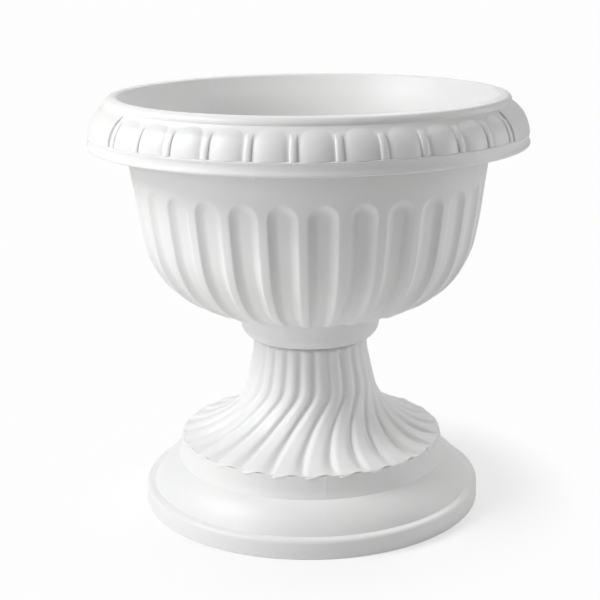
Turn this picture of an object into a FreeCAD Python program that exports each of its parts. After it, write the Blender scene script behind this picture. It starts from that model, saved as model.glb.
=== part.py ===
import FreeCAD, Part
import math
import os
from FreeCAD import Vector

# Urn planter in two moulded pieces, a fluted bowl clamped on a hollow pedestal.
# Millimetres, +Z up, origin at the centre of the face it rests on.
# Angles run from -Y (the front) towards +X, in degrees.

# ---- driving dimensions ----
H_SEAT = 158.0          # face where the bowl rests on the pedestal
R_SEAT = 40.0           # raised seat on top of the neck
SEAT_RISE = 2.0
T_WALL = 5.0            # moulded wall and floor

R_FOOT = 159.3          # base disc
H_DISC = 17.8
R_DRUM_EDGE = 127.3     # sharp ring on top of the ovolo
H_DRUM_EDGE = 41.9
H_DRUM_TOP = 62.2       # where the drum turns in under the swirled skirt

H_UNDER = 190.5         # flat underside of the bowl
R_UNDER = 97.0
H_RIM = 340.2           # underside of the rim
R_BAND = 200.0          # widest point
H_BAND = 352.0          # top of the rim band
H_CREASE = 377.5        # crease under the lip
R_CREASE = 182.3
R_FRIEZE = 194.0        # frieze ground at the band

FLUTES = 30
FLUTE_PHASE = 4.2
FLUTE_SPREAD = 9.1      # angle that one flute takes
FLUTE_FLOOR = 0.42      # flat share of a flute's width
FLUTE_DEPTH = 4.3
H_FLUTE_END = 297.5     # centre of the rounded flute end

FRIEZE_PHASE = 1.8
FRIEZE_SECTORS = 3
BEADS = 11              # in one sector
BEAD_PITCH = 10.45
BEAD_HALF = 14.2
BAR_HALF = 3.0
PANEL_HALF = 12.0

RIBS = 26
RIB_PHASE = -5.04       # valley at the skirt's edge
RIB_STOPS = [0, 0.07, 0.15, 0.26, 0.42, 0.6, 0.74, 0.85, 0.93]
GROOVE_POWER = 6        # higher is a narrower groove between broader ribs

BOLT_R = 4.0            # M8
BOLT_HOLE_R = 4.3
BOLT_LENGTH = 40.0
HEX_FLATS = 13.0
HEX_HEIGHT = 5.3
WASHER_R = 12.0
SEAL_T = 2.5
SEAL_R = 13.0
BOLT_WASHER_T = 2.0
NUT_WASHER_T = 1.6
NUT_R = 7.5
NUT_HEIGHT = 9.0
WING_SPAN = 18.0
FIT = 0.08              # radial clearance of parts that slide or turn

PLUG_RADIUS = 29.0      # drain holes lie this far from the axis
PLUG_SHANK_R = 6.0
PLUG_HEAD_R = 9.5
PLUG_HEAD_T = 2.5
DRAIN_R = 8.0           # opening through the pedestal's top plate


def at(r, angle, z):
    a = math.radians(angle)
    return Vector(r * math.sin(a), -r * math.cos(a), z)


def turned(shape, angle):
    copy = shape.copy()
    copy.rotate(Vector(0, 0, 0), Vector(0, 0, 1), angle)
    return copy


def line(p, q):
    return Part.makeLine(Vector(p[0], 0, p[1]), Vector(q[0], 0, q[1]))


def curve(points):
    spline = Part.BSplineCurve()
    spline.interpolate([Vector(r, 0, z) for r, z in points])
    return spline.toShape()


def arc(p, q, s):
    return Part.Arc(Vector(p[0], 0, p[1]), Vector(q[0], 0, q[1]), Vector(s[0], 0, s[1])).toShape()


def revolved(edges):
    face = Part.Face(Part.Wire(edges))
    return face.revolve(Vector(0, 0, 0), Vector(0, 0, 1), 360)


def cylinder(r, z0, z1, x=0.0, y=0.0):
    return Part.makeCylinder(r, z1 - z0, Vector(x, y, z0))


def sampled(table, x):
    # straight interpolation in a short table of pairs
    if x <= table[0][0]:
        return table[0][1]
    for (x0, y0), (x1, y1) in zip(table, table[1:]):
        if x <= x1:
            return y0 + (y1 - y0) * (x - x0) / (x1 - x0)
    return table[-1][1]


# ---- bowl ----
CUP = [(55, H_SEAT), (59.5, 159.8), (62, 162.5), (64, 166), (65.2, 171), (68, 182), (70, H_UNDER)]
WALL = [(R_UNDER, H_UNDER), (104, 194), (115.8, 200), (126.8, 208), (134.8, 216), (140.8, 224),
        (145.5, 232), (149, 240), (151.7, 248), (155, 264), (157.6, 280), (159.6, 296),
        (161.8, 312), (163.6, 326), (164.2, H_RIM)]
LIP = [(182.0, 380), (180.6, 382.4), (177.5, 384.1), (174, 384.7), (171, 383.4), (170, 381)]
INSIDE = [(170, 381), (167.5, 374), (163.5, 364), (160.5, 352), (159, H_RIM), (156.9, 326),
          (153.4, 304), (150, 280), (145.9, 260), (142, 246), (136, 231), (126, 216), (118, 208.5),
          (108, 203), (97, 198.5), (85, 196.3), (70, 195.6)]
INSIDE_CUP = [(70, 195.6), (64, 194), (61.6, 188), (59.8, 180), (58.4, 172), (57, 165.5), (53, 163)]
RECESS_IN = [(164.2, H_RIM), (165.5, 352), (168.5, 362), (172, 369), (175.5, 372)]
RECESS_OUT = [(175.5, 372), (179, 370.5), (181.5, 366.5), (184.5, 360), (187.2, 354), (190, 350.5),
              (193.2, 348), (194.5, 344), (194.5, H_RIM)]


def bowl_body():
    edges = [line((0, H_SEAT), CUP[0]), curve(CUP), line(CUP[-1], WALL[0]), curve(WALL)]
    edges += [line(WALL[-1], (R_BAND - 0.9, H_RIM))]
    edges += [arc((R_BAND - 0.9, H_RIM), (R_BAND - 0.2, H_RIM + 0.4), (R_BAND, H_RIM + 1.2))]
    edges += [arc((R_BAND, H_RIM + 1.2), (199.0, 347), (R_BAND - 0.6, H_BAND - 0.8))]
    edges += [arc((R_BAND - 0.6, H_BAND - 0.8), (R_BAND - 1, H_BAND - 0.2), (R_BAND - 1.8, H_BAND))]
    edges += [line((R_BAND - 1.8, H_BAND), (R_FRIEZE, H_BAND)), line((R_FRIEZE, H_BAND), (R_CREASE, H_CREASE))]
    edges += [line((R_CREASE, H_CREASE), LIP[0]), curve(LIP), curve(INSIDE), curve(INSIDE_CUP)]
    edges += [line(INSIDE_CUP[-1], (0, 163)), line((0, 163), (0, H_SEAT))]
    recess = [curve(RECESS_IN), curve(RECESS_OUT)]
    recess += [line(RECESS_OUT[-1], (194.5, H_RIM - 2)), line((194.5, H_RIM - 2), (164.2, H_RIM - 2))]
    recess += [line((164.2, H_RIM - 2), RECESS_IN[0])]
    return revolved(edges).cut(revolved(recess))


def flute_section(r, z, slope, beyond):
    # cross-section of a flute cutter: a flat floor between two hollow flanks, open side out
    side_half = r * math.tan(math.radians(FLUTE_SPREAD / 2))
    flank = side_half * (1 - FLUTE_FLOOR)
    deep = FLUTE_DEPTH * min(1.0, 0.35 + 0.65 * (r - 90) / 50) - side_half ** 2 / (2 * r)
    radius = (flank * flank + deep * deep) / (2 * deep)
    half = side_half * math.sqrt(1 - beyond * beyond)
    past = max(beyond - FLUTE_FLOOR, 0) / (1 - FLUTE_FLOOR)
    floor = max(half - flank, 0.12 * half)
    drop = deep - radius + math.sqrt(radius ** 2 - (past * flank) ** 2) + side_half ** 2 / (2 * r)
    outside = 1.5
    wide = half + outside * (half - floor) / max(drop, 0.5)
    out = Vector(0, -math.cos(slope), -math.sin(slope))
    up = Vector(0, -math.sin(slope), math.cos(slope))
    foot = at(r, 0, z) + up * (beyond * side_half)
    side = Vector(1, 0, 0)
    bend = foot + out * (-0.72 * drop)
    reach = floor + 0.48 * (half - floor)
    edges = []
    for sign in (-1, 1):
        mouth = foot + out * outside + side * (sign * wide)
        edges.append(Part.Arc(mouth, bend + side * (sign * reach), foot - out * drop + side * (sign * floor)))
    left, right = [edge.toShape() for edge in edges]
    bottom = Part.makeLine(foot - out * drop - side * floor, foot - out * drop + side * floor)
    top = Part.makeLine(foot + out * outside + side * wide, foot + out * outside - side * wide)
    return Part.Wire([left, bottom, right, top])


def flute_cutter():
    path = [(88, 186.5)] + [p for p in WALL[1:] if p[1] < H_FLUTE_END - 3] + [(159.75, H_FLUTE_END)]
    sections = []
    for i, (r, z) in enumerate(path):
        r0, z0 = path[max(i - 1, 0)]
        r1, z1 = path[min(i + 1, len(path) - 1)]
        slope = math.atan2(r1 - r0, z1 - z0)
        sections.append(flute_section(r, z, slope, 0.0))
    for beyond in (0.25, 0.5, 0.7, 0.85, 0.95):
        sections.append(flute_section(path[-1][0], path[-1][1], slope, beyond))
    return Part.makeLoft(sections, True, False)


FRIEZE_CREST = [(351.7, 199), (357, 198), (362, 196.3), (367, 193.6), (371.5, 190), (375, 185.9),
                (376.7, 183)]
BEAD_TAPER = [(351.7, 1.0), (362, 0.99), (367, 0.96), (371.5, 0.88), (375, 0.72), (377, 0.55)]


def frieze_section(z, half, relief, round_top):
    ground = R_FRIEZE + (R_CREASE - R_FRIEZE) * (z - H_BAND) / (H_CREASE - H_BAND)
    crest = ground + relief * (sampled(FRIEZE_CREST, z) - ground)
    root = ground - 1.2
    if round_top:
        tips = [Vector(half, -root, z), Vector(0, -crest, z)]
        if crest - root > half:
            tips.reverse()
        oval = Part.Ellipse(tips[0], tips[1], Vector(0, -root, z))
        start = oval.parameter(Vector(-half, -root, z))
        end = oval.parameter(Vector(half, -root, z))
        near = Part.ArcOfEllipse(oval, start, end).toShape()
        if near.CenterOfMass.y > -root:
            near = Part.ArcOfEllipse(oval, end, start).toShape()
        ends = [vertex.Point for vertex in near.Vertexes]
        return Part.Wire([near, Part.makeLine(ends[1], ends[0])])
    corners = [Vector(-half, -root, z), Vector(-half, -crest, z), Vector(half, -crest, z),
               Vector(half, -root, z)]
    return Part.makePolygon(corners + corners[:1])


def frieze_solid(half, relief, round_top, taper):
    sections = []
    for z, _ in FRIEZE_CREST:
        width = half * (sampled(BEAD_TAPER, z) if taper else 1.0)
        sections.append(frieze_section(z, width, relief, round_top))
    return Part.makeLoft(sections, True, False)


def frieze():
    bead = frieze_solid(BEAD_HALF, 1.0, True, True)
    bar = frieze_solid(BAR_HALF, 0.85, True, False)
    panel = frieze_solid(PANEL_HALF, 1.0, False, False)
    pieces = []
    for sector in range(FRIEZE_SECTORS):
        start = FRIEZE_PHASE + 360.0 / FRIEZE_SECTORS * sector
        for k in range(BEADS):
            pieces.append(turned(bead, start + (k - (BEADS - 1) / 2) * BEAD_PITCH))
        for k in range(BEADS - 1):
            pieces.append(turned(bar, start + (k - (BEADS - 2) / 2) * BEAD_PITCH))
        pieces.append(turned(panel, start + 180.0 / FRIEZE_SECTORS))
    return pieces


def plug_positions():
    return [(-PLUG_RADIUS, 0.0), (PLUG_RADIUS, 0.0)]


def make_bowl():
    cutter = flute_cutter()
    cutters = [turned(cutter, FLUTE_PHASE + 360.0 / FLUTES * k) for k in range(FLUTES)]
    body = bowl_body().cut(cutters).fuse(frieze())
    floor = H_SEAT + T_WALL
    holes = [cylinder(BOLT_HOLE_R, H_SEAT - 5, floor + 5)]
    for x, y in plug_positions():
        holes.append(cylinder(PLUG_SHANK_R + FIT, H_SEAT - 5, floor + 5, x, y))
    return body.cut(holes)


# ---- pedestal ----
SKIRT = [(60.7, 124.6, 121.6), (61.6, 123.9, 119.5), (62.8, 121.8, 113.5), (64.2, 118.2, 108),
         (66.2, 112, 101.5), (68.5, 104.5, 96), (71.5, 97.3, 90.4), (75.5, 90.1, 84.8),
         (80, 82.9, 78.9), (85, 76.8, 73.7), (91, 70.9, 68.4), (97.5, 66.6, 64.5), (105, 62.9, 61),
         (114, 60.3, 58.5), (124, 58.1, 56.3), (134, 56, 54.3), (144, 54, 52.4), (151, 53.5, 52),
         (154.2, 52.9, 51.6), (156, 50.6, 49.6)]
TWIST = [(66, 0), (71, 0.6), (75, 2.1), (79, 4.3), (83.5, 6.6), (87.5, 9.2), (91.5, 12), (98, 15.5),
         (104, 17.7), (111, 20.3), (119, 22), (128, 22.8)]
CREST_AT = [(61, 0.31), (71, 0.34), (84, 0.42), (100, 0.5)]
DRUM = [(R_DRUM_EDGE, H_DRUM_EDGE), (125.3, 47), (124, 54), (123.2, H_DRUM_TOP)]
SHELL_LOW = [(154, 11.3), (151.8, 13.2), (147.5, 14.8), (143, 22), (136, 30), (128, 35.5),
             (122.3, 39.5), (119.6, 46), (118.4, 52), (115, 57), (106, 60), (96, 62.6), (84, 69.4),
             (73, 79), (65, 89.5), (59.8, 99.5), (55.6, 110), (53, 120), (50.6, 131), (48.2, 143),
             (47.2, 151)]


def swirl_section(z, crest, valley):
    twist = RIB_PHASE + sampled(TWIST, z)
    peak = sampled(CREST_AT, z)
    pitch = 360.0 / RIBS
    points = []
    places = []
    for rib in range(RIBS):
        for stop in RIB_STOPS:
            turn = 0.5 * stop / peak if stop < peak else 0.5 + 0.5 * (stop - peak) / (1 - peak)
            height = 1 - abs(math.cos(math.pi * turn)) ** GROOVE_POWER
            points.append(at(valley + (crest - valley) * height, twist + (rib + stop) * pitch, z))
            places.append(rib + stop)
    ring = Part.BSplineCurve()
    ring.interpolate(Points=points, Parameters=places + [RIBS], PeriodicFlag=True)
    return Part.Wire([ring.toShape()])


def make_pedestal():
    swirl = Part.makeLoft([swirl_section(z, crest, valley) for z, crest, valley in SKIRT], True, False)
    edges = [line((0, 0), (R_FOOT - 0.8, 0)), line((R_FOOT - 0.8, 0), (R_FOOT, 0.8))]
    edges += [line((R_FOOT, 0.8), (R_FOOT, H_DISC - 3.6))]
    edges += [arc((R_FOOT, H_DISC - 3.6), (R_FOOT - 1, H_DISC - 1.05), (R_FOOT - 3.4, H_DISC))]
    edges += [line((R_FOOT - 3.4, H_DISC), (151, H_DISC))]
    edges += [arc((151, H_DISC), (141.3, 31.9), (R_DRUM_EDGE, H_DRUM_EDGE)), curve(DRUM)]
    edges += [line(DRUM[-1], (0, H_DRUM_TOP)), line((0, H_DRUM_TOP), (0, 0))]
    top = H_SEAT - SEAT_RISE - T_WALL
    cavity = [line((0, -1), (154, -1)), line((154, -1), SHELL_LOW[0]), curve(SHELL_LOW)]
    cavity += [line(SHELL_LOW[-1], (0, top)), line((0, top), (0, -1))]
    seat = cylinder(R_SEAT, H_SEAT - 3, H_SEAT)
    body = revolved(edges).fuse([swirl, seat]).cut(revolved(cavity))
    holes = [cylinder(BOLT_HOLE_R, 140, H_SEAT + 5)]
    for x, y in plug_positions():
        holes.append(cylinder(DRAIN_R, 140, H_SEAT + 5, x, y))
    return body.cut(holes)


# ---- clamp hardware ----
def ring_washer(z0, thickness, outer, inner):
    return cylinder(outer, z0, z0 + thickness).cut(cylinder(inner, z0 - 1, z0 + thickness + 1))


def make_bolt(z_under_head):
    corner = HEX_FLATS / math.sqrt(3)
    points = [Vector(corner * math.cos(math.radians(60 * k)), corner * math.sin(math.radians(60 * k)),
                     z_under_head) for k in range(7)]
    head = Part.Face(Part.makePolygon(points)).extrude(Vector(0, 0, HEX_HEIGHT))
    dome = Part.makeCone(corner + 2.6, corner - 1.4, HEX_HEIGHT + 1.2, Vector(0, 0, z_under_head))
    shank = cylinder(BOLT_R, z_under_head - BOLT_LENGTH, z_under_head)
    tip = min(shank.Edges, key=lambda e: e.CenterOfMass.z)
    shank = shank.makeChamfer(0.8, [tip])
    return head.common(dome).fuse(shank).removeSplitter()


def make_wing_nut(z_top):
    z0 = z_top - NUT_HEIGHT
    hub = Part.makeCone(NUT_R - 1.6, NUT_R, NUT_HEIGHT, Vector(0, 0, z0))
    outline = [(4.6, z_top - 0.6), (7.5, z_top - 1.2), (13.5, z0 - 1.2), (WING_SPAN, z0 - 5.5)]
    lower = [(WING_SPAN, z0 - 5.5), (15.6, z0 - 8.2), (11.4, z0 - 5.2), (7.2, z0 + 0.6), (4.6, z0 + 0.6)]
    wire = Part.Wire([curve(outline), curve(lower), line(lower[-1], outline[0])])
    wing = Part.Face(wire).extrude(Vector(0, 3.2, 0))
    wing.translate(Vector(0, -1.6, 0))
    body = hub.fuse([wing, turned(wing, 180)])
    return body.cut(cylinder(BOLT_R + FIT, z0 - 12, z_top + 2))


def make_plug(x, y):
    floor = H_SEAT + T_WALL
    head = cylinder(PLUG_HEAD_R, floor, floor + PLUG_HEAD_T, x, y)
    rim = max(head.Edges, key=lambda e: e.CenterOfMass.z)
    head = head.makeFillet(1.0, [rim])
    shank = cylinder(PLUG_SHANK_R, H_SEAT - 2.5, floor, x, y)
    hollow = cylinder(PLUG_SHANK_R - 2.2, H_SEAT - 4, floor - 1, x, y)
    pull = cylinder(3.2, floor + PLUG_HEAD_T, floor + PLUG_HEAD_T + 5, x, y)
    tip = max(pull.Edges, key=lambda e: e.CenterOfMass.z)
    return head.fuse([shank, pull.makeFillet(1.2, [tip])]).cut(hollow)


def main():
    floor = H_SEAT + T_WALL
    under_head = floor + SEAL_T + BOLT_WASHER_T
    plate = H_SEAT - SEAT_RISE - T_WALL
    left, right = plug_positions()
    nodes = {
        "bowl": make_bowl(),
        "pedestal": make_pedestal(),
        "seal_washer": ring_washer(floor, SEAL_T, SEAL_R, BOLT_R + FIT),
        "bolt_washer": ring_washer(floor + SEAL_T, BOLT_WASHER_T, WASHER_R, BOLT_R + FIT),
        "clamp_bolt": make_bolt(under_head),
        "nut_washer": ring_washer(plate - NUT_WASHER_T, NUT_WASHER_T, WASHER_R, BOLT_R + FIT),
        "wing_nut": make_wing_nut(plate - NUT_WASHER_T),
        "drain_plug_left": make_plug(*left),
        "drain_plug_right": make_plug(*right),
    }
    os.makedirs("parts", exist_ok=True)
    for name, shape in nodes.items():
        shape.exportStep("parts/" + name + ".step")
        print(name, "valid", shape.isValid(), "solids", len(shape.Solids), "volume", round(shape.Volume))


main()
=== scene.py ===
import math

import bpy
import numpy as np
from mathutils import Matrix, Vector


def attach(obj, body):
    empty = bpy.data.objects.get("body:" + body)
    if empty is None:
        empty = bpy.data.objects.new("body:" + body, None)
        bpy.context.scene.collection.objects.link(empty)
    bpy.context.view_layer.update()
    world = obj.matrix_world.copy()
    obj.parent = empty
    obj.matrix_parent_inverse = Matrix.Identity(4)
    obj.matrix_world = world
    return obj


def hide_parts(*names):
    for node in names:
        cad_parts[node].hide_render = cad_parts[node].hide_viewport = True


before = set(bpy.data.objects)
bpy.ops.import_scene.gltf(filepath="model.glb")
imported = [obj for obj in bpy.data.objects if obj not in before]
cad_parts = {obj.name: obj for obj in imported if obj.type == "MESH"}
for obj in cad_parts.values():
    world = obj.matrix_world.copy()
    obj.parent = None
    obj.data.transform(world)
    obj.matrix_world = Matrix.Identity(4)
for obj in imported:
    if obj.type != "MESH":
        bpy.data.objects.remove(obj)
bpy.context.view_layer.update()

# Urn planter: fluted bowl on a swirled pedestal. Sizes in millimetres, turned to metres in Builder.mesh.
# Angles run from -Y (the front) towards +X, in degrees.
MM = 0.001

# ---------------------------------------------------------------- profiles
SEAT = 158.0
NECK_TOP = 156.0
FLOOR = 163.0
PLATE = 151.0
UNDER = 190.5
R_UNDER = 97.0
RIM_Z = 340.2
BAND_Z = 352.0
CREASE_Z = 377.5
R_BAND = 199.85
R_FRIEZE = 196.0
R_CREASE = 182.3

CUP = [(55, 158), (57.6, 158.5), (59.5, 159.8), (62, 162.5), (64, 166), (65.2, 171), (68, 182),
       (69.6, 188.6), (70.4, 190)]
WALL = [(86, 185.5), (R_UNDER, UNDER), (104, 194), (115.8, 200), (126.8, 208), (134.8, 216), (140.8, 224),
        (145.5, 232), (149, 240), (151.7, 248), (155, 264), (157.6, 280), (159.6, 296), (161.8, 312),
        (163.6, 326), (164.2, RIM_Z)]
LIP = [(R_CREASE, CREASE_Z), (182.6, 378.6), (182.4, 380.6), (181.0, 382.8), (178, 384.2), (174, 384.6),
       (171, 383.4), (170, 381)]
INSIDE = [(170, 381), (167.5, 374), (163.5, 364), (160.5, 352), (159, RIM_Z), (156.9, 326), (153.4, 304),
          (150, 280), (145.9, 260), (142, 246), (136, 231), (126, 216), (118, 208.5), (108, 203),
          (97, 198.5), (85, 196.3), (70, 195.6)]
INSIDE_CUP = [(70, 195.6), (64, 194), (61.6, 188), (59.8, 180), (58.4, 172), (57, 165.5), (54, 163)]
RECESS = [(164.2, RIM_Z), (165.5, 352), (168.5, 362), (172, 369), (175.5, 372), (179, 370.5),
          (181.5, 366.5), (184.5, 360), (187.2, 354), (190, 350.5), (193.2, 348), (194.5, 344),
          (194.5, RIM_Z)]
BAND = [(194.5, RIM_Z), (198.9, RIM_Z), (199.6, RIM_Z + 0.4), (R_BAND, RIM_Z + 1.2), (199.7, 342.4),
        (198.9, 344.2), (198.5, 346.6), (198.6, 349), (199.1, 350.8), (198.9, 351.6), (197.9, BAND_Z)]
FRIEZE_CREST = [(352, 199), (357, 198), (362, 196.3), (367, 193.6), (371.5, 190), (375, 185.9),
                (CREASE_Z, R_CREASE)]
FRIEZE_GROUND = [(352, R_FRIEZE), (357, 195), (362, 193.3), (367, 190.7), (371.5, 187.4), (375, 184.2),
                 (CREASE_Z, R_CREASE)]

# crest radius, crest height, valley radius, valley height of the pedestal's ribs, from neck to edge
SKIRT = [(50.6, 156, 49.6, 156), (52.9, 154.2, 51.5, 154.2), (53.5, 151, 51.8, 151), (54, 144, 52.2, 144),
         (56, 134, 54.1, 134), (58.1, 124, 56.1, 124), (60.3, 114, 58.3, 113.8), (62.9, 105, 60.9, 104.4),
         (66.6, 97.5, 64.8, 96.4), (70.9, 91, 69.2, 89.3), (76.8, 85, 75.2, 82.7), (82.9, 80, 81.3, 77.2),
         (90.1, 75.5, 88.6, 72.3), (97.3, 71.5, 96, 67.9), (104.5, 68.5, 103.2, 64.9),
         (112, 66.2, 110.6, 63.1), (118.2, 64.2, 116.4, 62.2), (121.8, 62.6, 119.8, 61.4),
         (123.9, 61.3, 121.6, 60.7), (124.5, 60.2, 122.6, 60.3)]
TWIST = [(60, 0), (66, 0), (70, 0.5), (74, 1.4), (78.5, 2.8), (83.5, 4.6), (88.5, 6.9), (93.5, 9.6),
         (98.5, 12.4), (103.5, 15.5), (108.5, 18.6), (113.5, 20.6), (118.5, 21.5), (124, 21.76),
         (158, 21.76)]
CREST_AT = [(60, 0.31), (71, 0.34), (84, 0.42), (100, 0.5), (158, 0.5)]
GROOVE_POWER = [(60, 6), (85, 6), (100, 4), (118, 2.8), (158, 2.8)]
EDGE_NOTCH = 2.8        # rise and set-back of the notch between the tips of the skirt's edge
NOTCH_INSET = 1.4
R_NOTCH = 114.0         # where the notches begin
TIP_PLACE = 0.17        # place of a tip, as a share of the pitch
R_SKIRT_UNDER = 118.0   # how far in the skirt's underside reaches
DRUM = [(123.2, 62.2), (124, 54), (125.3, 47), (127.3, 41.9)]
SHELL = [(154, 0), (154, 11.3), (151.8, 13.2), (147.5, 14.8), (143, 22), (136, 30), (128, 35.5),
         (122.3, 39.5), (119.6, 46), (118.4, 52), (115, 57), (106, 60), (96, 62.6), (84, 69.4), (73, 79),
         (65, 89.5), (59.8, 99.5), (55.6, 110), (53, 120), (50.6, 131), (48.2, 143), (47.2, PLATE)]

FLUTES = 30
FLUTE_PHASE = 4.2
FLUTE_SPREAD = 9.1
FLUTE_FLOOR = 0.32
FLUTE_DEPTH = 4.3
FLUTE_CURVE = 1.9
FLUTE_END = 297.5
FLUTE_SOFT = 0.3
FLUTE_SHALLOW = 0.35    # share of the depth left where the flutes begin, at R_FLUTE
R_FLUTE = 90.0

FRIEZE_PHASE = 1.8
BEADS = 11
BEAD_PITCH = 10.45
BEAD_HALF = 13.8
BAR_HALF = 3.1
PANEL_SPAN = 62.2
BEAD_ROOT = 0.8         # how far the beads' sides reach below the gaps
GAP_RISE = 0.35         # height of the gaps and of the bars, as shares of the full relief
BAR_RISE = 0.85
GAP_TOP = 372.5         # height where gaps and bars have run out
BEAD_FADE = 369.0       # height where the beads begin to sink
BEAD_CORNER = 364.0     # height where the beads' rounded tops begin
CORNER_HEIGHT = 12.6
CORNER_SHARE = 0.62

RIBS = 26
RIB_PHASE = -4.0

SEAM_BOWL = 61.0        # parting lines: angle, height and half width in degrees
SEAM_BOWL_HEIGHT = 0.3
SEAM_BOWL_HALF = 0.25
SEAM_BASE = 5.6
SEAM_BASE_HEIGHT = 0.22
SEAM_BASE_HALF = 0.16
R_SEAM = 158.5          # the base's line ends at this radius
NUB_ANGLE = -12.4
R_NUB = 198.4
SHARP_ANGLE = 32.0      # edges sharper than this stay hard

PLUG_PLACE = 29.0
BOLT_HOLE = 4.3
PLUG_HOLE = 6.08
DRAIN_HOLE = 8.0


# ---------------------------------------------------------------- mesh helpers
def spline(points, step):
    """Points along a smooth curve through the given ones, about one step apart in the first two columns."""
    p = np.array(points, float)
    t = np.concatenate([[0], np.cumsum(np.hypot(*np.diff(p[:, :2], axis=0).T))])
    n = max(2, int(round(t[-1] / step)) + 1)
    s = np.linspace(0, t[-1], n)
    slopes = np.gradient(p, t, axis=0)
    k = np.clip(np.searchsorted(t, s, side="right") - 1, 0, len(t) - 2)
    h = (t[k + 1] - t[k])[:, None]
    u = ((s - t[k])[:, None]) / h
    a = p[k] * (2 * u ** 3 - 3 * u ** 2 + 1) + p[k + 1] * (3 * u ** 2 - 2 * u ** 3)
    return a + h * slopes[k] * (u ** 3 - 2 * u ** 2 + u) + h * slopes[k + 1] * (u ** 3 - u ** 2)


def arc_between(p, q, bulge, n):
    """An arc from p to q that stands out by bulge to the left of the way from p to q."""
    p, q = np.array(p, float), np.array(q, float)
    chord = q - p
    length = np.hypot(*chord)
    side = np.array([-chord[1], chord[0]]) / length
    radius = (length ** 2 / 4 + bulge ** 2) / (2 * bulge)
    centre = (p + q) / 2 - side * (radius - bulge)
    half = math.asin(length / 2 / radius)
    angle = np.linspace(-half, half, n)
    along = chord / length
    return centre + radius * (np.outer(np.sin(angle), along) + np.outer(np.cos(angle), side))


def normals_of(profile):
    """Unit normals to the right of a profile's way."""
    d = np.gradient(profile, axis=0)
    d /= np.hypot(d[:, 0], d[:, 1])[:, None]
    return np.stack([d[:, 1], -d[:, 0]], 1)


def polar(r, angle, z):
    a = np.radians(angle)
    return np.stack([r * np.sin(a), -r * np.cos(a), np.broadcast_to(z, np.shape(r))], -1)


class Builder:
    """Collects grids that close round the axis into one mesh."""

    def __init__(self):
        self.verts = []
        self.faces = []
        self.count = 0

    def add(self, points, faces):
        self.verts.append(np.asarray(points, float).reshape(-1, 3))
        self.faces += [tuple(i + self.count for i in f) for f in faces]
        self.count += len(self.verts[-1])

    def grid(self, points, flip=False):
        rows, cols = points.shape[:2]
        faces = []
        for i in range(rows - 1):
            for j in range(cols):
                k = (j + 1) % cols
                f = (i * cols + j, i * cols + k, (i + 1) * cols + k, (i + 1) * cols + j)
                faces.append(f[::-1] if flip else f)
        self.add(points, faces)

    def revolve(self, profile, n, flip=False):
        angle = np.arange(n) * 360.0 / n
        p = np.asarray(profile, float)
        r = np.repeat(p[:, :1], n, 1)
        z = np.repeat(p[:, 1:], n, 1)
        self.grid(polar(r, np.broadcast_to(angle, r.shape), z), flip=flip)

    def mesh(self, name):
        data = bpy.data.meshes.new(name)
        data.from_pydata([tuple(v) for v in np.concatenate(self.verts) * MM], [], self.faces)
        data.validate()
        data.update()
        return data


def seam_revolve(b, profile, n):
    """The base's revolved profile with a thin raised parting line at one angle."""
    p = np.asarray(profile, float)
    angle = np.arange(n) * 360.0 / n
    extra = SEAM_BASE + SEAM_BASE_HALF * np.array([-1, -0.5, 0.0, 0.5, 1])
    angle = np.sort(np.concatenate([angle[np.abs(angle - SEAM_BASE) > 2 * SEAM_BASE_HALF], extra]))
    lift = SEAM_BASE_HEIGHT * np.clip(1 - np.abs(angle - SEAM_BASE) / SEAM_BASE_HALF, 0, 1)
    r = p[:, :1] + lift[None, :] * (p[:, :1] < R_SEAM)
    z = np.repeat(p[:, 1:], len(angle), 1)
    b.grid(polar(r, np.broadcast_to(angle, r.shape), z), flip=True)


def holed_plate(name, radius, z0, z1, holes):
    """A flat round plate with round holes, as a mesh."""
    curve = bpy.data.curves.new(name, "CURVE")
    curve.dimensions = "2D"
    curve.fill_mode = "BOTH"
    curve.extrude = (z1 - z0) / 2 * MM
    for x, y, r, n in [(0, 0, radius, 180)] + holes:
        ring = curve.splines.new("POLY")
        ring.points.add(n - 1)
        for i in range(n):
            a = 2 * math.pi * i / n
            ring.points[i].co = ((x + r * math.cos(a)) * MM, (y + r * math.sin(a)) * MM, 0, 1)
        ring.use_cyclic_u = True
    holder = bpy.data.objects.new(name, curve)
    bpy.context.scene.collection.objects.link(holder)
    bpy.context.view_layer.update()
    data = bpy.data.meshes.new_from_object(holder)
    bpy.data.objects.remove(holder)
    data.transform(Matrix.Translation((0, 0, (z0 + z1) / 2 * MM)))
    return data


def make_object(name, builder, material, extra=()):
    """One object from a builder's mesh and some further meshes."""
    obj = bpy.data.objects.new(name, builder.mesh(name))
    bpy.context.scene.collection.objects.link(obj)
    parts = [obj]
    for i, mesh in enumerate(extra):
        piece = bpy.data.objects.new(name + "_part" + str(i), mesh)
        bpy.context.scene.collection.objects.link(piece)
        parts.append(piece)
    if len(parts) > 1:
        with bpy.context.temp_override(active_object=obj, selected_editable_objects=parts,
                                       selected_objects=parts):
            bpy.ops.object.join()
    obj.data.materials.clear()
    obj.data.materials.append(material)
    for poly in obj.data.polygons:
        poly.material_index = 0
    obj.data.shade_smooth()
    obj.data.set_sharp_from_angle(angle=math.radians(SHARP_ANGLE))
    return obj


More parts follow.
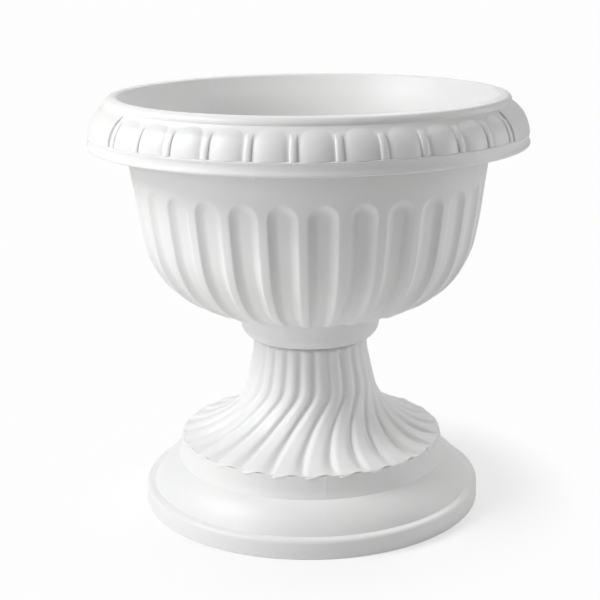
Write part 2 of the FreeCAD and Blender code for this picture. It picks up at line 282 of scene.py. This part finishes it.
# ---------------------------------------------------------------- materials
class Nodes:
    def __init__(self, name):
        self.material = bpy.data.materials.new(name)
        self.material.use_nodes = True
        self.tree = self.material.node_tree
        self.shader = self.tree.nodes["Principled BSDF"]
        self.coords = self.new("ShaderNodeTexCoord").outputs["Object"]

    def new(self, kind, **settings):
        node = self.tree.nodes.new(kind)
        for key, value in settings.items():
            setattr(node, key, value)
        return node

    def link(self, a, b):
        self.tree.links.new(a, b)

    def noise(self, scale, detail=3.0, rough=0.5, stretch=None):
        node = self.new("ShaderNodeTexNoise")
        node.inputs["Scale"].default_value = scale
        node.inputs["Detail"].default_value = detail
        node.inputs["Roughness"].default_value = rough
        source = self.coords
        if stretch:
            mapping = self.new("ShaderNodeMapping")
            mapping.inputs["Scale"].default_value = stretch
            self.link(source, mapping.inputs["Vector"])
            source = mapping.outputs["Vector"]
        self.link(source, node.inputs["Vector"])
        return node.outputs["Fac"]

    def remap(self, value, a, b, c, d):
        node = self.new("ShaderNodeMapRange")
        for key, number in (("From Min", a), ("From Max", b), ("To Min", c), ("To Max", d)):
            node.inputs[key].default_value = number
        self.link(value, node.inputs["Value"])
        return node.outputs["Result"]

    def mix(self, factor, a, b):
        node = self.new("ShaderNodeMix", data_type="RGBA")
        if hasattr(factor, "links"):
            self.link(factor, node.inputs["Factor"])
        else:
            node.inputs["Factor"].default_value = factor
        for socket, value in ((node.inputs[6], a), (node.inputs[7], b)):
            if hasattr(value, "links"):
                self.link(value, socket)
            else:
                socket.default_value = (*value, 1)
        return node.outputs[2]

    def bump(self, layers):
        """Chained bumps: (height socket, distance in metres, strength)."""
        normal = None
        for height, distance, strength in layers:
            node = self.new("ShaderNodeBump")
            node.inputs["Distance"].default_value = distance
            node.inputs["Strength"].default_value = strength
            self.link(height, node.inputs["Height"])
            if normal:
                self.link(normal, node.inputs["Normal"])
            normal = node.outputs["Normal"]
        self.link(normal, self.shader.inputs["Normal"])

    def done(self, **constants):
        for key, value in constants.items():
            self.shader.inputs[key.replace("_", " ")].default_value = value
        return self.material


def white_resin():
    m = Nodes("white_resin")
    cloudy = m.noise(9.0, 4.0, 0.55)
    fine = m.noise(160.0, 3.0, 0.6)
    grain = m.noise(1700.0, 2.0, 0.5)
    ripple = m.noise(26.0, 2.0, 0.4)
    specks = m.remap(m.noise(420.0, 1.0, 0.4), 0.74, 0.80, 0.0, 1.0)
    tint = m.mix(m.remap(cloudy, 0.3, 0.7, 0.0, 1.0), (0.80, 0.805, 0.805), (0.835, 0.835, 0.825))
    tint = m.mix(m.remap(fine, 0.35, 0.75, 0.0, 0.25), tint, (0.86, 0.86, 0.86))
    tint = m.mix(m.remap(specks, 0.0, 1.0, 0.0, 0.18), tint, (0.66, 0.65, 0.62))
    m.link(tint, m.shader.inputs["Base Color"])
    m.link(m.remap(cloudy, 0.3, 0.75, 0.40, 0.50), m.shader.inputs["Roughness"])
    m.bump([(grain, 0.00006, 0.35), (fine, 0.00015, 0.2), (ripple, 0.0004, 0.25)])
    return m.done(IOR=1.5)


def zinc(name, stretch):
    m = Nodes(name)
    streaks = m.noise(900.0, 3.0, 0.6, stretch)
    blotch = m.noise(180.0, 3.0, 0.6)
    tint = m.mix(m.remap(blotch, 0.3, 0.7, 0.0, 1.0), (0.60, 0.61, 0.62), (0.72, 0.72, 0.70))
    m.link(tint, m.shader.inputs["Base Color"])
    m.link(m.remap(streaks, 0.3, 0.7, 0.26, 0.42), m.shader.inputs["Roughness"])
    m.bump([(streaks, 0.00003, 0.3)])
    return m.done(Metallic=1.0)


def black_rubber():
    m = Nodes("black_rubber")
    fine = m.noise(1500.0, 2.0, 0.6)
    dust = m.noise(120.0, 4.0, 0.6)
    tint = m.mix(m.remap(dust, 0.4, 0.8, 0.0, 0.5), (0.022, 0.022, 0.022), (0.07, 0.068, 0.062))
    m.link(tint, m.shader.inputs["Base Color"])
    m.link(m.remap(fine, 0.3, 0.7, 0.62, 0.8), m.shader.inputs["Roughness"])
    m.bump([(fine, 0.00006, 0.4)])
    return m.done()


def plug_plastic():
    m = Nodes("plug_plastic")
    cloudy = m.noise(60.0, 3.0, 0.5)
    fine = m.noise(1400.0, 2.0, 0.5)
    tint = m.mix(m.remap(cloudy, 0.3, 0.7, 0.0, 1.0), (0.70, 0.70, 0.69), (0.77, 0.77, 0.76))
    m.link(tint, m.shader.inputs["Base Color"])
    m.link(m.remap(fine, 0.3, 0.7, 0.34, 0.46), m.shader.inputs["Roughness"])
    m.bump([(fine, 0.00004, 0.3)])
    return m.done()


RESIN = white_resin()
ZINC_TURNED = zinc("zinc_turned", (1.0, 1.0, 6.0))
ZINC_PRESSED = zinc("zinc_pressed", (1.0, 1.0, 1.0))
RUBBER = black_rubber()
PLUG = plug_plastic()


# ---------------------------------------------------------------- bowl
def soft_positive(d, soft):
    return (d + np.sqrt(d ** 2 + soft ** 2)) / 2


def flute_depth(r, x, beyond):
    """Depth of the flute x mm beside its centre line, beyond mm past the end's centre."""
    half = r * math.tan(math.radians(FLUTE_SPREAD / 2))
    flank = half * (1 - FLUTE_FLOOR)
    deep = FLUTE_DEPTH * np.minimum(1.0, FLUTE_SHALLOW + (1 - FLUTE_SHALLOW) * (r - R_FLUTE) / 50)
    off_floor = np.clip((np.hypot(x, beyond) - half + flank) / flank, 0, 1.4)
    return soft_positive(deep * (1 - off_floor ** FLUTE_CURVE), FLUTE_SOFT)


def bowl_wall(b):
    profile = spline(WALL, 1.4)
    normal = normals_of(profile)
    edge = FLUTE_SPREAD / 2
    pitch = 360.0 / FLUTES
    even = np.linspace(-1, 1, 31)
    inner = edge * (0.8 * even + 0.2 * np.sin(even * math.pi / 2))
    land = np.array([0.1, 0.35, 0.65, 0.9]) * (pitch - FLUTE_SPREAD) + edge
    one = np.concatenate([inner, land])
    angle = np.concatenate([one + FLUTE_PHASE + pitch * k for k in range(FLUTES)])
    local = np.concatenate([np.where(one > pitch / 2, one - pitch, one)] * FLUTES)
    r, z = profile[:, :1], profile[:, 1:]
    x = r * np.radians(local)[None, :]
    beyond = np.maximum(z - FLUTE_END, 0)
    seam = np.abs(np.mod(angle - SEAM_BOWL + 180, 360) - 180)
    d = flute_depth(r, x, beyond) - SEAM_BOWL_HEIGHT * np.clip(1 - seam / SEAM_BOWL_HALF, 0, 1)[None, :]
    rr = r - normal[:, :1] * d
    zz = np.maximum(z - normal[:, 1:] * d, UNDER)
    b.grid(polar(rr, np.broadcast_to(angle, rr.shape), zz))


def frieze_marks():
    """Angles round the rim, with the kind, place and centre of the element each lies on."""
    out = []
    mid = (R_FRIEZE + R_CREASE) / 2 + 4

    def element(centre, spread, kind, samples):
        for a in -np.cos(np.linspace(0, math.pi, samples)):
            out.append((centre + a * spread, kind, a, centre))

    for sector in range(2):
        start = FRIEZE_PHASE + 180.0 * sector
        element(start - 90.0, PANEL_SPAN / 2, 2, 33)
        for k in range(2 * BEADS + 1):
            centre = start + (k / 2 - BEADS / 2) * BEAD_PITCH
            if k % 2:
                element(centre, math.degrees(BEAD_HALF / mid), 0, 23)
            else:
                element(centre, math.degrees(BAR_HALF / mid), 1, 9)
    return [np.array(column) for column in zip(*out)]


def bowl_rim(b):
    angle, kind, a, centre = frieze_marks()
    dome = np.sqrt(np.clip(1 - a ** 2, 0, 1))
    rows = []

    def plain(points):
        for r, z in points:
            rows.append(polar(np.full(len(angle), r), angle, z))

    plain(spline(RECESS, 4.0))
    plain(spline(BAND, 0.7)[1:])
    crest_line = spline(FRIEZE_CREST, 0.5)
    ground_line = spline(FRIEZE_GROUND, 0.5)
    for z in np.concatenate([[BAND_Z], np.linspace(BAND_Z + 0.1, CREASE_Z, 34)]):
        ground = np.interp(z, ground_line[:, 0], ground_line[:, 1])
        crest = np.interp(z, crest_line[:, 0], crest_line[:, 1])
        fade = 1 - np.clip((z - BEAD_FADE) / 6.5, 0, 1) ** 2
        low = np.clip((GAP_TOP - z) / 3.5, 0, 1)
        gap = ground + GAP_RISE * low * (crest - ground)
        top = ground + (crest - ground) * max(fade, GAP_RISE * low)
        bead = np.maximum(gap - BEAD_ROOT + (top - gap + BEAD_ROOT) * dome ** 1.3, gap)
        bar = np.maximum(gap - BEAD_ROOT + (BAR_RISE * low * (crest - gap) + BEAD_ROOT) * dome ** 0.5, gap)
        panel = np.where(np.abs(a) > 0.999, gap, crest)
        corner = np.clip((z - BEAD_CORNER) / CORNER_HEIGHT, 0, 1)
        narrow = 1 - CORNER_SHARE * (1 - math.sqrt(1 - corner ** 2))
        moved = np.where(kind == 0, centre + (angle - centre) * narrow, angle)
        rows.append(polar(np.select([kind == 0, kind == 1], [bead, bar], panel), moved, z))
    plain(spline(LIP, 0.9)[1:])
    plain(spline(INSIDE, 4.5)[1:])
    plain(spline(INSIDE_CUP, 2.5)[1:])
    b.grid(np.array(rows))


def nub(b):
    """The small gate mark under the band."""
    turn = np.linspace(0, 2 * math.pi, 16, endpoint=False)
    rows = []
    for height, wide in ((0.6, 1.9), (0, 1.9), (-0.7, 1.7), (-1.1, 1.1), (-1.2, 0.2)):
        angle = NUB_ANGLE + np.degrees(wide * np.sin(turn) / R_NUB)
        rows.append(polar(R_NUB + wide * 0.5 * np.cos(turn), angle, RIM_Z + height))
    b.grid(np.array(rows), flip=True)


def build_bowl():
    b = Builder()
    bowl_wall(b)
    bowl_rim(b)
    nub(b)
    b.revolve([(86, UNDER), (74, UNDER), (71.2, UNDER), (70.4, 190.0)], 240, flip=True)
    b.revolve(spline(CUP, 1.5)[::-1], 240, flip=True)
    holes = [(0, 0, BOLT_HOLE, 40), (-PLUG_PLACE, 0, PLUG_HOLE, 48), (PLUG_PLACE, 0, PLUG_HOLE, 48)]
    plate = holed_plate("bowl_floor", 55.4, SEAT, FLOOR, holes)
    obj = make_object("urn_bowl", b, RESIN, [plate])
    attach(obj, "bowl_unit")
    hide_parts("bowl")


# ---------------------------------------------------------------- pedestal
def rib_rows():
    """Rows of points up the ribbed neck and skirt, from the top to the edge."""
    crest_r, crest_z, valley_r, valley_z = [c[:, None] for c in spline(SKIRT, 1.3).T]
    phase = np.concatenate([np.linspace(0, 0.2, 8, endpoint=False),
                            np.linspace(0.2, 0.8, 16, endpoint=False),
                            np.linspace(0.8, 1.0, 8, endpoint=False)])
    angle = np.concatenate([(phase + k) * 360.0 / RIBS for k in range(RIBS)])[None, :]
    phase = np.tile(phase, RIBS)[None, :]
    peak = np.interp(crest_z, *zip(*CREST_AT))
    turn = np.where(phase < peak, 0.5 * phase / peak, 0.5 + 0.5 * (phase - peak) / (1 - peak))
    height = 1 - np.abs(np.cos(math.pi * turn)) ** np.interp(crest_z, *zip(*GROOVE_POWER))
    z = valley_z + (crest_z - valley_z) * height
    twist = RIB_PHASE + np.interp(z, *zip(*TWIST))
    wave = 0.5 - 0.5 * np.cos(2 * math.pi * (phase - TIP_PLACE))
    notch = np.clip((crest_r - R_NOTCH) / (SKIRT[-1][0] - R_NOTCH), 0, 1) ** 2 * wave
    r = valley_r + (crest_r - valley_r) * height
    return r - NOTCH_INSET * notch, twist + angle, z + EDGE_NOTCH * notch


def build_pedestal():
    b = Builder()
    r, around, z = rib_rows()
    rows = list(polar(r, around, z))
    inset = r[-1] - 0.4
    for t in np.linspace(0, 1, 5):
        rows.append(polar(inset + (R_SKIRT_UNDER - inset) * t, around[-1], z[-1] - 0.3 + t))
    b.grid(np.array(rows), flip=True)
    base = [(119.0, 62.0)] + list(spline(DRUM, 1.2))
    base += list(arc_between((127.3, 41.9), (151, 17.8), 3.0, 26))[1:]
    base += [(151.4, 17.75), (153.5, 17.8), (155.9, 17.8), (157.2, 17.5), (158.3, 16.8), (159.0, 15.6),
             (159.25, 14.2), (159.25, 7), (159.25, 0.8), (158.9, 0.25), (158.4, 0.0), (154, 0)]
    seam_revolve(b, base, 480)
    b.revolve([SHELL[0]] + list(spline(SHELL[1:], 2.5)), 240, flip=True)
    b.revolve([(49.8, NECK_TOP), (46.8, NECK_TOP)], 120)
    holes = [(0, 0, BOLT_HOLE, 40), (-PLUG_PLACE, 0, DRAIN_HOLE, 48), (PLUG_PLACE, 0, DRAIN_HOLE, 48)]
    plate = holed_plate("neck_plate", 48.0, PLATE, NECK_TOP, holes)
    seat = holed_plate("seat", 40.0, NECK_TOP, SEAT, holes)
    obj = make_object("urn_pedestal", b, RESIN, [plate, seat])
    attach(obj, "base")
    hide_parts("pedestal")


def finish_hardware():
    """The CAD pieces of the clamp and the plugs keep their shape and get their finish."""
    finishes = {"clamp_bolt": ZINC_TURNED, "bolt_washer": ZINC_PRESSED, "nut_washer": ZINC_PRESSED,
                "wing_nut": ZINC_PRESSED, "seal_washer": RUBBER, "drain_plug_left": PLUG,
                "drain_plug_right": PLUG}
    for node, material in finishes.items():
        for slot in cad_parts[node].material_slots:
            slot.material = material


# ---------------------------------------------------------------- floor, lights, camera
WHITE = 0.985           # plain background, as seen by the camera
FLOOR_GREY = 0.80
FLOOR_LIFT = 0.16       # light added to the lit floor, for the camera only
SHADOW_FADE = 0.45      # share of plain white by the base
FADE_FROM = 0.165       # metres from the axis
FADE_TO = 0.27
WORLD_LIGHT = 0.09
LAMP_SIZE = 1.0
LAMP_DISTANCE = 2.2
LAMP_TARGET = 0.22
# azimuth from the front towards the right, elevation, watts
LAMPS = {"key_left": (-75, 42, 34.5), "left_low": (-55, 12, 12.0), "right_low": (95, 12, 11.0),
         "back_right": (160, 42, 11.8), "right_high": (75, 42, 7.5), "back_left": (-160, 42, 5.4),
         "front_high": (-10, 62, 1.6)}

CAMERA_PLACE = (0, -1.2071, 0.5141)
CAMERA_LENS = 79.67
CAMERA_SHIFT = -10.0 / 600
CAMERA_DOWN = 15.045
CAMERA_ROLL = -0.56


def stage_material():
    """A pale floor that keeps the shadow by the base and turns into plain white away from it."""
    mat = bpy.data.materials.new("backdrop")
    mat.use_nodes = True
    nodes, links = mat.node_tree.nodes, mat.node_tree.links
    lit = nodes["Principled BSDF"]
    lit.inputs["Base Color"].default_value = (FLOOR_GREY, FLOOR_GREY, FLOOR_GREY, 1)
    lit.inputs["Roughness"].default_value = 0.9
    lit.inputs["Specular IOR Level"].default_value = 0.1
    lit.inputs["Emission Color"].default_value = (1, 1, 1, 1)
    white = nodes.new("ShaderNodeEmission")
    white.inputs["Strength"].default_value = WHITE
    path = nodes.new("ShaderNodeLightPath")
    lift = nodes.new("ShaderNodeMath")
    lift.operation = "MULTIPLY"
    lift.inputs[1].default_value = FLOOR_LIFT
    links.new(path.outputs["Is Camera Ray"], lift.inputs[0])
    links.new(lift.outputs[0], lit.inputs["Emission Strength"])
    coords = nodes.new("ShaderNodeTexCoord")
    length = nodes.new("ShaderNodeVectorMath")
    length.operation = "LENGTH"
    links.new(coords.outputs["Object"], length.inputs[0])
    fade = nodes.new("ShaderNodeMapRange")
    fade.interpolation_type = "SMOOTHSTEP"
    fade.inputs["From Min"].default_value = FADE_FROM
    fade.inputs["From Max"].default_value = FADE_TO
    fade.inputs["To Min"].default_value = SHADOW_FADE
    links.new(length.outputs["Value"], fade.inputs["Value"])
    seen = nodes.new("ShaderNodeMath")
    seen.operation = "MULTIPLY"
    links.new(fade.outputs["Result"], seen.inputs[0])
    links.new(path.outputs["Is Camera Ray"], seen.inputs[1])
    mix = nodes.new("ShaderNodeMixShader")
    links.new(seen.outputs[0], mix.inputs[0])
    links.new(lit.outputs[0], mix.inputs[1])
    links.new(white.outputs[0], mix.inputs[2])
    links.new(mix.outputs[0], nodes["Material Output"].inputs["Surface"])
    return mat


def build_stage():
    b = Builder()
    b.add([(-6000, -4000, 0), (6000, -4000, 0), (6000, 9000, 0), (-6000, 9000, 0)], [(0, 1, 2, 3)])
    floor = make_object("floor", b, stage_material())


def lamp(name, azimuth, elevation, power):
    """A square soft box."""
    data = bpy.data.lights.new(name, "AREA")
    data.shape = "SQUARE"
    data.size = LAMP_SIZE
    data.energy = power
    obj = bpy.data.objects.new(name, data)
    bpy.context.scene.collection.objects.link(obj)
    a, e = math.radians(azimuth), math.radians(elevation)
    away = Vector((math.cos(e) * math.sin(a), -math.cos(e) * math.cos(a), math.sin(e))) * LAMP_DISTANCE
    place = Matrix.Translation(Vector((0, 0, LAMP_TARGET)) + away)
    obj.matrix_world = place @ away.to_track_quat("Z", "Y").to_matrix().to_4x4()


def build_lights():
    world = bpy.data.worlds.new("studio")
    bpy.context.scene.world = world
    world.use_nodes = True
    nodes, links = world.node_tree.nodes, world.node_tree.links
    background = nodes["Background"]
    background.inputs["Color"].default_value = (1, 1, 1, 1)
    path = nodes.new("ShaderNodeLightPath")
    strength = nodes.new("ShaderNodeMapRange")
    strength.inputs["To Min"].default_value = WORLD_LIGHT
    strength.inputs["To Max"].default_value = WHITE
    links.new(path.outputs["Is Camera Ray"], strength.inputs["Value"])
    links.new(strength.outputs["Result"], background.inputs["Strength"])
    for name, settings in LAMPS.items():
        lamp(name, *settings)


def build_camera():
    data = bpy.data.cameras.new("camera")
    data.sensor_width = 36.0
    data.lens = CAMERA_LENS
    data.shift_x = CAMERA_SHIFT
    camera = bpy.data.objects.new("camera", data)
    bpy.context.scene.collection.objects.link(camera)
    camera.matrix_world = (Matrix.Translation(CAMERA_PLACE)
                           @ Matrix.Rotation(math.radians(90 - CAMERA_DOWN), 4, "X")
                           @ Matrix.Rotation(math.radians(CAMERA_ROLL), 4, "Z"))
    bpy.context.scene.camera = camera


build_bowl()
build_pedestal()
finish_hardware()
build_stage()
build_lights()
build_camera()
bpy.context.scene.view_settings.view_transform = "Standard"
